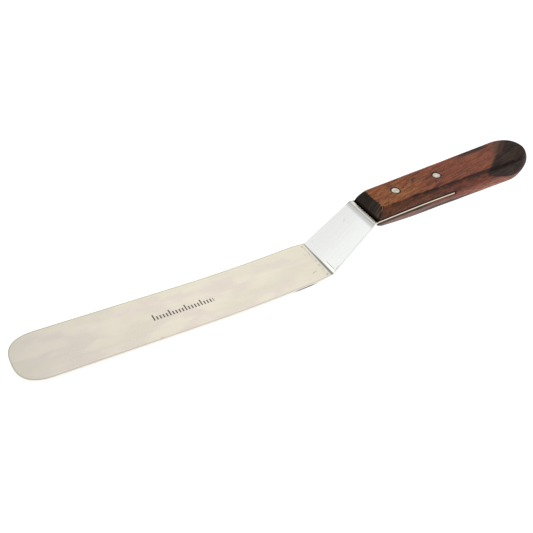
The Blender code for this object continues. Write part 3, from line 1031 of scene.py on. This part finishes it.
def wood_veins(tree, at, color):
    """A broken vein along the near ridge, flecks in the upper face and a dark wedge at the far rear."""
    ridge = tree.plus(tree.times(at.x, -0.021), -8.1)
    past_ridge = tree.step(tree.minus(ridge, at.y), -0.4, 0.6)
    broken = tree.step(tree.plus(at.figure, tree.times(at.x, 0.0035)), 0.56, 0.68)
    color = tree.tint(color, VEIN_TONE, past_ridge, tree.step(at.z, 4.5, 6.8), broken, 0.85)

    from_above = tree.join(at.x, at.y, 0.0)
    for centre, size, turn, strength in WOOD_FLECKS:
        fleck = tree.spot(from_above, centre, size, turn)
        color = tree.tint(color, FLECK_TONE, fleck, strength, tree.step(at.z, 3.5, 5.5))

    far_side = tree.step(tree.plus(at.y, tree.times(at.uneven, 2.4)), 6.6, 8.2)
    rear = tree.step(tree.plus(at.x, tree.times(at.uneven, 6.0)), 70.0, 80.0)
    wedge = tree.times(far_side, tree.step(at.z, 4.0, 6.5), rear, tree.step(at.x, 106.0, 96.0))
    return tree.tint(color, WEDGE_TONE, wedge, 0.85)


def heartwood(tree, at, color):
    """(colour, share) with the dark heartwood that fills the butt behind a slanting, ragged line."""
    low = tree.math("MAXIMUM", tree.minus(4.0, at.z), 0.0)
    depth = tree.minus(tree.minus(at.x, HEART_AT), tree.times(at.y, 1.55))
    depth = tree.minus(depth, tree.times(low, 3.2))
    depth = tree.plus(depth, tree.times(at.uneven, 5.0))
    softness = tree.minus(-1.8, tree.times(tree.step(at.y, -3.0, 8.0), 2.8))
    inside = tree.times(tree.step(depth, softness, 1.8), tree.step(at.z, -3.4, -2.4), 0.95)

    reach = tree.plus(depth, tree.times(tree.step(at.y, 1.0, 9.0), 4.5))
    border = tree.times(tree.step(reach, -7.0, -1.0), tree.step(at.y, -7.0, 2.0))
    color = tree.tint(color, HEART_BORDER, border, 0.65)

    tone = tree.mix(tree.step(at.figure, 0.40, 0.66), HEART_DARK, HEART_LIGHT)
    streak_middle = tree.minus(tree.times(tree.minus(at.x, 101.0), 0.66), 1.7)
    streak = tree.step(tree.away(at.y, streak_middle), 1.8, 0.4)
    tone = tree.tint(tone, HEART_STREAK, streak, tree.window(at.x, 99.0, 104.0, 110.0, 120.0), 0.75)
    tone = tree.tint(tone, HEART_RIDGE, tree.step(tree.away(at.z, 6.6), 1.6, 0.5), 0.8)
    tone = tree.tint(tone, HEART_FOOT, tree.step(at.z, 4.5, 1.0), 0.35)
    return tree.mix(inside, color, tone), inside


def sawn_front(tree, at, color):
    """(colour, share) with the dark sawn slope at the front, its saw lines and a painted highlight arc at
    its corner.
    """
    ragged = tree.minus(tree.noise(tree.scaled(at.place, (1.1, 1.6, 1.1))), 0.5)
    facing = tree.plus(at.facing, tree.times(ragged, 0.35))
    slope = tree.times(tree.step(facing, -0.10, -0.40), tree.step(at.x, 7.0, 5.0))
    torn = tree.step(tree.plus(at.x, tree.times(ragged, 4.5)), 4.4, 3.7)
    sawn = tree.math("MAXIMUM", slope, tree.times(torn, tree.step(at.z, 6.6, 7.4)))

    lines = tree.noise(tree.scaled(at.place, (0.10, 2.2, 0.12)), 2.0, 0.6)
    near = tree.plus(tree.times(tree.step(at.y, 2.0, -7.0), 0.8), 0.2)
    soot = tree.mix(tree.times(tree.step(lines, 0.46, 0.70), near), SOOT_DARK, SOOT_LIGHT)
    singed = tree.times(tree.step(at.x, 9.0, 1.5), tree.step(at.z, 7.8, 6.6))
    color = tree.tint(color, SINGED_TONE, singed, 0.62)
    color = tree.mix(sawn, color, soot)

    # Painted highlight: a thin arc on the slope's rounded near top corner.
    radius = tree.length(tree.join(tree.minus(at.x, ARC_X), tree.minus(at.y, ARC_Y), 0.0))
    arc = tree.step(tree.away(radius, ARC_RADIUS), 0.32, 0.10)
    arc = tree.times(arc, tree.step(tree.minus(at.x, at.y), 9.6, 11.0), tree.step(at.z, 5.2, 6.2))
    return tree.tint(color, ARC_HIGHLIGHT_TONE, arc, 0.95), sawn


def seams(tree, at, color):
    """Painted shade in the slot's two lines along the sides and in its mouth, and dark rings round the
    pins, partly painted shade at the holes' edges.
    """
    # Painted shade in the gaps above and below the tang, and in the slot's mouth.
    above = tree.window(at.z, -0.5, 0.5, 1.65, 2.05)
    below = tree.times(tree.window(at.z, -2.9, -1.9, -0.5, 0.5), tree.step(at.x, 46.0, 30.0))
    along_slot = tree.step(at.x, SEAM_SHADE_ENDS_AT + 0.4, SEAM_SHADE_ENDS_AT - 0.4)
    mouth = tree.times(tree.step(at.x, 1.0, 0.6), tree.step(at.z, 2.4, 1.9))
    seam_shade = tree.math("MAXIMUM", tree.times(tree.plus(above, below), along_slot), mouth)
    for pin_at in PINS_AT:
        radius = tree.length(tree.join(tree.minus(at.x, pin_at), at.y, 0.0))
        seam_shade = tree.math("MAXIMUM", seam_shade, tree.step(radius, 3.35, 2.85))
    return tree.tint(color, SEAM_SHADE_TONE, seam_shade, 0.93)


def wood_material():
    """Oiled rosewood, laid out in the handle's own frame."""
    material, tree = new_material("oiled_rosewood")
    at = wood_places(tree)
    color = wood_figure(tree, at)
    color = wood_side(tree, at, color)
    color = wood_veins(tree, at, color)
    color, heart = heartwood(tree, at, color)
    color, sawn = sawn_front(tree, at, color)
    color = seams(tree, at, color)
    # Painted shade where the surface turns away from the view, darkening the handle's outline.
    facing = tree.add("ShaderNodeLayerWeight", {"Blend": 0.5}).outputs["Facing"]
    color = tree.tint(color, GRAZING_SHADE_TONE, tree.step(facing, 0.70, 0.96), 0.75)
    color = tree.multiplied(color, (0.90, 0.90, 0.90))

    roughness = tree.plus(tree.times(at.fibre, 0.16), 0.38)
    grain = tree.plus(tree.times(at.fibre, 0.5), tree.times(at.pore, -1.5))
    dull = tree.times(tree.math("MAXIMUM", heart, sawn), 0.11)
    tree.set(Base_Color=color, Roughness=roughness, Normal=tree.bump(grain, 0.00006))
    tree.set(Specular_IOR_Level=tree.minus(0.14, dull))
    return material


# ---- pins' metal


def pin_material():
    material, tree = new_material("ground_rivet_metal")
    place = tree.add("ShaderNodeTexCoord").outputs["Object"]
    scratches = tree.noise(tree.scaled(place, (2600.0, 5200.0, 900.0)), 2.0, 0.6)
    blotches = tree.noise(tree.scaled(place, (620.0, 620.0, 200.0)))
    light, dull, scratched = (0.72, 0.68, 0.58), (0.50, 0.50, 0.43), (0.35, 0.33, 0.28)
    color = tree.mix(tree.step(blotches, 0.42, 0.60), light, dull)
    color = tree.tint(color, scratched, tree.step(scratches, 0.5, 0.8), 0.3)
    roughness = tree.plus(tree.times(scratches, 0.2), 0.28)
    tree.set(Base_Color=color, Metallic=1.0, Roughness=roughness, Normal=tree.bump(scratches, 0.00002))
    return material


# ---- studio

FLOOR_RADIUS = 12.0
FLOOR_DROP = 0.0002
FLOOR_GREY = (0.30, 0.30, 0.30)
FLOOR_GLOW = 0.95

SKY_LOW = (1.05, 1.05, 1.05)
SKY_FRONT = (0.22, 0.22, 0.23)
SKY_BEHIND = (0.56, 0.57, 0.60)
WARM_BOX = (1.05, 1.02, 0.98)
COOL_BOX = (1.14, 1.15, 1.14)

LIGHT_SIZE = 1.2
LIGHT_POWER = 1.2
LIGHT_DISTANCE = 1.6
LIGHT_RAISE = Vector((0.0, 0.0, 0.5))

# The camera's place, its turn as (to the side, down, roll), and its lens over its sensor's width.
CAMERA_PLACE = Vector((-0.17823, -0.22951, 0.26326))
CAMERA_TURN = (radians(33.565), radians(42.55), radians(3.254))
LENS_SHARE = 1.289024
SENSOR_WIDTH = 36.0


def make_floor():
    """A pale light table under the spatula."""
    shape = bmesh.new()
    bmesh.ops.create_circle(shape, cap_ends=True, segments=96, radius=FLOOR_RADIUS)
    floor = shaped("floor", shape)
    floor.location.z = CAD_BOX[0].z - FLOOR_DROP
    material, tree = new_material("light_table")
    tree.set(Base_Color=FLOOR_GREY, Roughness=1.0, Specular_IOR_Level=0.0)
    tree.set(Emission_Color=(1.0, 1.0, 1.0), Emission_Strength=FLOOR_GLOW)
    floor.data.materials.append(material)


def make_sky():
    """White at the horizon, with a warm and a cool soft box behind the object and a darker gap between."""
    world = bpy.data.worlds.new("studio")
    bpy.context.scene.world = world
    world.use_nodes = True
    tree = NodeTree(world.node_tree)
    x, y, z = tree.split(tree.add("ShaderNodeTexCoord").outputs["Generated"])
    color = tree.mix(tree.step(y, -0.5, 0.4), SKY_FRONT, SKY_BEHIND)
    box_height = tree.times(tree.step(z, 0.95, 0.80), tree.step(y, -0.1, 0.25))
    color = tree.tint(color, WARM_BOX, tree.step(x, -0.05, 0.32), box_height)
    color = tree.tint(color, COOL_BOX, tree.step(x, -0.25, -0.48), box_height)
    color = tree.tint(color, SKY_LOW, tree.step(z, 0.44, 0.33))
    background = world.node_tree.nodes["Background"]
    tree.put(background.inputs["Color"], color)
    tree.put(background.inputs["Strength"], 1.0)


def make_light():
    """A large, weak soft light above the camera."""
    data = bpy.data.lights.new("soft_light", "AREA")
    data.shape = "DISK"
    data.size = LIGHT_SIZE
    data.energy = LIGHT_POWER
    light = linked("soft_light", data)
    light.location = CAMERA_PLACE.normalized() * LIGHT_DISTANCE + LIGHT_RAISE
    light.rotation_euler = light.location.to_track_quat("Z", "Y").to_euler()


def make_camera():
    data = bpy.data.cameras.new("camera")
    data.sensor_width = SENSOR_WIDTH
    data.lens = LENS_SHARE * SENSOR_WIDTH
    data.clip_start = 0.01
    camera = linked("camera", data)
    side, drop, roll = CAMERA_TURN
    look = Vector((sin(side) * cos(drop), cos(side) * cos(drop), -sin(drop)))
    right = Vector((cos(side), -sin(side), 0.0))
    up = right.cross(look)
    rolled_right = right * cos(roll) + up * sin(roll)
    rolled_up = up * cos(roll) - right * sin(roll)
    axes = Matrix((rolled_right, rolled_up, -look)).transposed()
    camera.matrix_world = Matrix.Translation(CAMERA_PLACE) @ axes.to_4x4()
    bpy.context.scene.camera = camera


# ---- assembly


def hole_cutters():
    """Cutters for the drilled holes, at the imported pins' places."""
    size = (PIN_RADIUS + HOLE_GAP, 2 * HANDLE_THICKNESS)
    return [cylinder(node + "_hole", *size, pin_frame(node)) for node in PIN_NODES]


def build():
    make_camera()
    holes = hole_cutters()
    slot_size = (2 * SLOT_END, 4 * REAR_HALF_WIDTH, STEEL + 2 * GAP)
    slot = box("slot", slot_size, HANDLE_FRAME)
    blade = make_blade(holes)
    handle = make_handle([slot, *holes])
    pins = [make_pin("pin_front", "front_rivet"), make_pin("pin_rear", "rear_rivet")]
    for cutter in (slot, *holes):
        bpy.data.objects.remove(cutter)

    pin_metal = pin_material()
    pieces = (
        (blade, "blade", "blade_steel", steel_material()),
        (handle, "handle", "rosewood", wood_material()),
        (pins[0], "front_rivet", "rivet_metal", pin_metal),
        (pins[1], "rear_rivet", "rivet_metal", pin_metal),
    )
    for piece, node, slot_name, material in pieces:
        piece.data.materials.clear()
        piece.data.materials.append(material)
        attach(piece, "root")
        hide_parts(node)
    make_floor()
    make_sky()
    make_light()
    bpy.context.scene.view_settings.view_transform = "Standard"


build()
